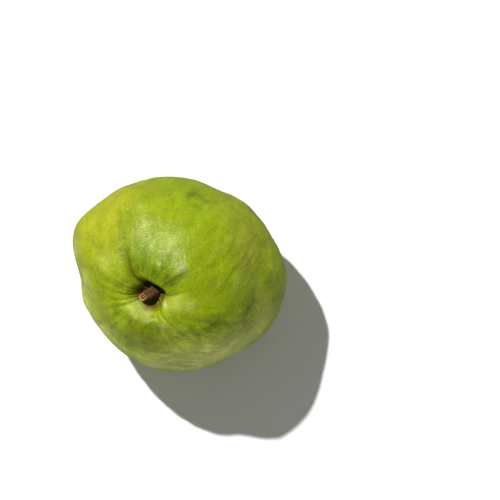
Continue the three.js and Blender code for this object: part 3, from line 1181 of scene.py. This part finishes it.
class CrownGraph(Graph):
    """Geometry nodes that set sepals in a ring and dried stamens on the scar inside it."""

    INPUTS = {
        "Base": "Geometry", "Sepal": "Object", "Stamen": "Object", "Husk": "Material", "Seed": "Int",
        "Sepal count": "Int", "Ring radius": "Float", "Scar radius": "Float", "Stamen density": "Float",
    }
    SEPAL_TURNS = ((-0.12, -0.3, -0.16), (0.12, 0.22, 0.16))
    SEPAL_SIZES = (0.82, 1.08)
    STAMEN_TURNS = ((-0.6, -0.6, -3.1), (0.6, 0.6, 3.1))
    STAMEN_SIZES = (0.6, 1.15)

    def __init__(self, name: str) -> None:
        """Makes the tree with its named inputs.

        Args:
            name: the tree's name.
        """
        super().__init__(bpy.data.node_groups.new(name, "GeometryNodeTree"))
        for label, kind in self.INPUTS.items():
            self.tree.interface.new_socket(label, in_out="INPUT", socket_type=f"NodeSocket{kind}")
        self.tree.interface.new_socket("Crown", in_out="OUTPUT", socket_type="NodeSocketGeometry")
        given = self.add("NodeGroupInput").outputs
        joined = self.add("GeometryNodeJoinGeometry")
        for part in (given["Base"], self.sepals(given), self.stamens(given)):
            self.tree.links.new(part, joined.inputs[0])
        plain = self.add("GeometryNodeRealizeInstances", {0: joined.outputs[0]})
        inputs = {"Geometry": plain.outputs[0], "Material": given["Husk"]}
        self.add("NodeGroupOutput", {0: self.add("GeometryNodeSetMaterial", inputs).outputs[0]})

    def chance(self, kind: str, low: object, high: object, seed: Socket) -> Socket:
        """Seeded random value of one data type between two bounds."""
        node = self.add("FunctionNodeRandomValue", {"Min": low, "Max": high, "Seed": seed}, data_type=kind)
        return next(socket for socket in node.outputs if socket.enabled)

    def scatter(self, points: Socket, pattern: Socket, turn: Socket, size: Socket) -> Socket:
        """Puts one copy of an object on each point.

        Args:
            points: where the copies stand.
            pattern: the object.
            turn: how each copy is turned.
            size: how large each copy is.

        Returns:
            The copies' socket.
        """
        copy = self.add("GeometryNodeObjectInfo", {"Object": pattern}).outputs["Geometry"]
        inputs = {"Points": points, "Instance": copy, "Rotation": turn, "Scale": size}
        return self.add("GeometryNodeInstanceOnPoints", inputs).outputs[0]

    def sepals(self, given: bpy.types.NodeOutputs) -> Socket:
        """Sepals in a ring, each turned outwards and a little astray.

        Args:
            given: the tree's inputs.

        Returns:
            The sepals' socket.
        """
        seed = given["Seed"]
        inputs = {"Vertices": given["Sepal count"], "Radius": given["Ring radius"]}
        ring = self.add("GeometryNodeMeshCircle", inputs).outputs[0]
        step = self.math("DIVIDE", 2 * math.pi, given["Sepal count"])
        outwards = self.times(self.add("GeometryNodeInputIndex").outputs[0], step)
        outwards = self.add("ShaderNodeCombineXYZ", {"Z": outwards}).outputs[0]
        astray = self.chance("FLOAT_VECTOR", *self.SEPAL_TURNS, seed)
        turn = self.add("ShaderNodeVectorMath", {0: outwards, 1: astray}, operation="ADD").outputs[0]
        size = self.chance("FLOAT", *self.SEPAL_SIZES, seed)
        return self.scatter(ring, given["Sepal"], turn, size)

    def stamens(self, given: bpy.types.NodeOutputs) -> Socket:
        """Stamens strewn over the scar, each leaning its own way.

        Args:
            given: the tree's inputs.

        Returns:
            The stamens' socket.
        """
        seed = given["Seed"]
        disc = self.add("GeometryNodeMeshCircle", {"Radius": given["Scar radius"]}, fill_type="NGON")
        inputs = {"Mesh": disc.outputs[0], "Density": given["Stamen density"], "Seed": seed}
        points = self.add("GeometryNodeDistributePointsOnFaces", inputs).outputs["Points"]
        turn = self.chance("FLOAT_VECTOR", *self.STAMEN_TURNS, seed)
        size = self.chance("FLOAT", *self.STAMEN_SIZES, seed)
        return self.scatter(points, given["Stamen"], turn, size)


@dataclass
class Calyx:
    """The dried crown at the blossom end: a scarred foot, five sepals and withered stamens."""

    form: FruitForm = FruitForm()
    finish: HuskFinish = HuskFinish()
    foot_radius: float = 3.9
    foot_sunk: float = 1.0
    foot_height: float = 0.8
    foot_top: float = 0.8
    foot_crumple: tuple[Crumple, ...] = several(Crumple, (0.16, 1.3), (0.08, 3, 5))
    foot_mesh: Rings = Rings(26, 56)
    scar_radius: float = 2.4
    scar_depth: float = 0.5
    scar_steepness: float = 8
    scar_filled: float = 0.85
    sepal_count: int = 5
    sepal_length: float = 5.2
    sepal_width: float = 3.9
    sepal_taper: float = 0.5
    sepal_taper_power: float = 1.5
    sepal_side_power: float = 0.55
    sepal_thickness: float = 0.42
    sepal_edge_power: float = 0.4
    sepal_splay: float = 30.0
    sepal_curl: float = 1.2
    sepal_cup: float = 0.22
    sepal_crumple: tuple[Crumple, ...] = several(Crumple, (0.3, 0.7), (0.12, (1, 2.4, 0.5), 7))
    sepal_sunk: float = 0.1
    sepal_mesh: Rings = Rings(20, 20)
    ring_radius: float = 2.75
    stamen_length: float = 2.3
    stamen_radius: float = 0.09
    stamen_bend: float = 0.5
    stamen_sunk: float = 0.2
    stamen_density: float = 3.2
    stamen_mesh: Rings = Rings(9, 6)
    knob_swell: float = 1.4
    knob_place: float = 0.92
    knob_length: float = 0.07
    seed: int = 4

    def foot(self) -> Piece:
        """Round foot, sunk in the skin, with a crumpled rim round the scar.

        Returns:
            The foot, with the skin's level at the origin.
        """
        mesh = self.foot_mesh
        share = np.arange(1, mesh.count + 1) / mesh.count
        radius = self.foot_radius * np.minimum(1, share / self.foot_top)
        top = self.foot_height - self.scar_depth * plateau(radius, self.scar_radius, self.scar_steepness)
        drop = (share - self.foot_top) / (1 - self.foot_top)
        side = self.foot_height - (self.foot_height + self.foot_sunk) * drop
        radius, height = mesh.corners(radius, np.where(share > self.foot_top, side, top))
        place = round_points(radius, mesh.turn, height)
        lumps = LumpField(self.seed)
        place[:, 2] += sum(crumple.over(lumps, place) for crumple in self.foot_crumple)
        scar, buried = [0, 0, self.foot_height - self.scar_depth], [0, 0, -self.foot_sunk]
        return mesh.piece("calyx_foot", np.vstack([scar, place, buried]))

    def sepal(self) -> Piece:
        """One thin crumpled blade that stands on its root, leans to +X and curls back.

        Returns:
            The blade, with its root at the origin.
        """
        mesh = self.sepal_mesh
        (along,) = mesh.corners(mesh.share)
        swell = np.sin(math.pi * along)
        width = swell**self.sepal_side_power * (1 - self.sepal_taper * along**self.sepal_taper_power)
        beside = self.sepal_width / 2 * width * np.cos(mesh.turn)
        through = self.sepal_thickness / 2 * swell**self.sepal_edge_power * np.sin(mesh.turn)
        rise = along * self.sepal_length
        flat = np.stack([np.zeros_like(beside), beside, rise], axis=1)
        lumps = LumpField(self.seed + 1)
        coarse, fine = self.sepal_crumple
        out = self.sepal_curl * along**2 - self.sepal_cup * (beside / self.sepal_width * 2) ** 2
        out += coarse.over(lumps, flat) * along + fine.over(lumps, flat)
        root, tip = [0, 0, -self.sepal_sunk], [self.sepal_curl, 0, self.sepal_length]
        blade = np.vstack([root, np.stack([out - through, beside, rise], axis=1), tip])
        splay = math.radians(self.sepal_splay)
        cosine, sine = math.cos(splay), math.sin(splay)
        tilt = np.array([[cosine, 0, -sine], [0, 1, 0], [sine, 0, cosine]])
        return mesh.piece("sepal_blade", blade @ tilt)

    def stamen(self) -> Piece:
        """One bent dry thread with a small knob at its end.

        Returns:
            The thread, with its root at the origin.
        """
        mesh = self.stamen_mesh
        (along,) = mesh.corners(mesh.share)
        knob = self.knob_swell * bell(along - self.knob_place, self.knob_length)
        radius = self.stamen_radius * (1 + knob)
        thread = round_points(radius, mesh.turn, along * self.stamen_length)
        thread[:, 0] += self.stamen_bend * along**2
        root, tip = [0, 0, -self.stamen_sunk], [self.stamen_bend, 0, self.stamen_length]
        return mesh.piece("stamen_thread", np.vstack([root, thread, tip]))

    def build(self) -> Piece:
        """Makes and dresses the crown.

        Returns:
            The crown's object.
        """
        crown, sepal, stamen = self.foot(), self.sepal(), self.stamen()
        material = self.finish.material()
        graph = CrownGraph("calyx_crown")
        values = {
            "Sepal": sepal, "Stamen": stamen, "Husk": material, "Sepal count": self.sepal_count,
            "Ring radius": self.ring_radius * MM, "Stamen density": self.stamen_density / MM**2,
            "Scar radius": self.scar_radius * self.scar_filled * MM, "Seed": self.seed,
        }
        modifier = crown.modifiers.new("crown", "NODES")
        modifier.node_group = graph.tree
        for socket in graph.tree.interface.items_tree:
            if socket.name in values:
                modifier[socket.identifier] = values[socket.name]
        crown.update_tag()
        evaluated = crown.evaluated_get(bpy.context.evaluated_depsgraph_get())
        mesh = bpy.data.meshes.new_from_object(evaluated)
        crown.modifiers.remove(modifier)
        crown.data = mesh
        local = np.empty(len(mesh.vertices) * 3)
        mesh.vertices.foreach_get("co", local)
        blossom = self.form.blossom
        placed = blossom.place(local.reshape(-1, 3) / MM, self.form.point(blossom.axis)) * MM
        mesh.vertices.foreach_set("co", placed.ravel())
        mesh.shade_smooth()
        mesh.update()
        for spare in (sepal, stamen):
            bpy.data.objects.remove(spare)
        crown.name = "calyx_husk"
        hand_over(crown, "calyx", "calyx_crown")
        return crown


@dataclass
class Studio:
    """Floor, light and camera. Sizes are in millimetres, but for floor_size and sight_length in metres."""

    floor_size: float = 12.0
    floor_finish: FloorFinish = FloorFinish()
    sun_travel: float = -53.0
    sun_height: float = 54.0
    sun_strength: float = 4.3
    sun_softness: float = 1.6
    sky_strength: float = 0.24
    sky_colour: Colour = (1.0, 1.0, 0.97, 1.0)
    camera_place: Pair = (28.395, 9.865)
    camera_height: float = 2000.0
    view_height: float = 40.0
    view_width: float = 202.5
    sight_length: float = 100.0

    def build(self) -> None:
        """Sets up the floor, the light and the camera."""
        self.floor()
        self.light()
        self.camera()

    def floor(self) -> None:
        """Lays the wide plain floor that the fruit rests on."""
        half = self.floor_size / 2 / MM
        corners = np.array([[-half, -half, 0], [half, -half, 0], [half, half, 0], [-half, half, 0]])
        floor = mesh_object("floor", corners, [(0, 1, 2, 3)])
        floor.data.materials.append(self.floor_finish.material())
        floor.visible_glossy = False

    def light(self) -> None:
        """Adds one key light from the upper left and an even pale sky."""
        data = bpy.data.lights.new("key_light", "SUN")
        data.energy = self.sun_strength
        data.angle = math.radians(self.sun_softness)
        sun = bpy.data.objects.new("key_light", data)
        tilt, turn = math.radians(90 - self.sun_height), math.radians(self.sun_travel + 180)
        sun.rotation_euler = (0.0, tilt, turn)
        bpy.context.scene.collection.objects.link(sun)
        world = bpy.data.worlds.new("pale_sky")
        world.use_nodes = True
        graph = Graph(world.node_tree)
        inputs = {"Color": self.sky_colour, "Strength": self.sky_strength}
        sky = graph.add("ShaderNodeBackground", inputs)
        graph.add("ShaderNodeOutputWorld", {"Surface": sky.outputs[0]})
        bpy.context.scene.world = world
        bpy.context.scene.view_settings.view_transform = "Standard"

    def camera(self) -> None:
        """Looks straight down, with +Y towards the top of the frame."""
        data = bpy.data.cameras.new("camera")
        data.lens = data.sensor_width * (self.camera_height - self.view_height) / self.view_width
        data.clip_end = self.sight_length
        camera = bpy.data.objects.new("camera", data)
        camera.location = [value * MM for value in (*self.camera_place, self.camera_height)]
        bpy.context.scene.collection.objects.link(camera)
        bpy.context.scene.camera = camera


def main() -> None:
    """Builds the pieces in order and reports each."""
    logging.basicConfig(level=logging.INFO, format="%(name)s: %(message)s")
    Studio().build()
    Fruit().build()
    Stalk().build()
    Calyx().build()


if __name__ == "__main__":
    main()
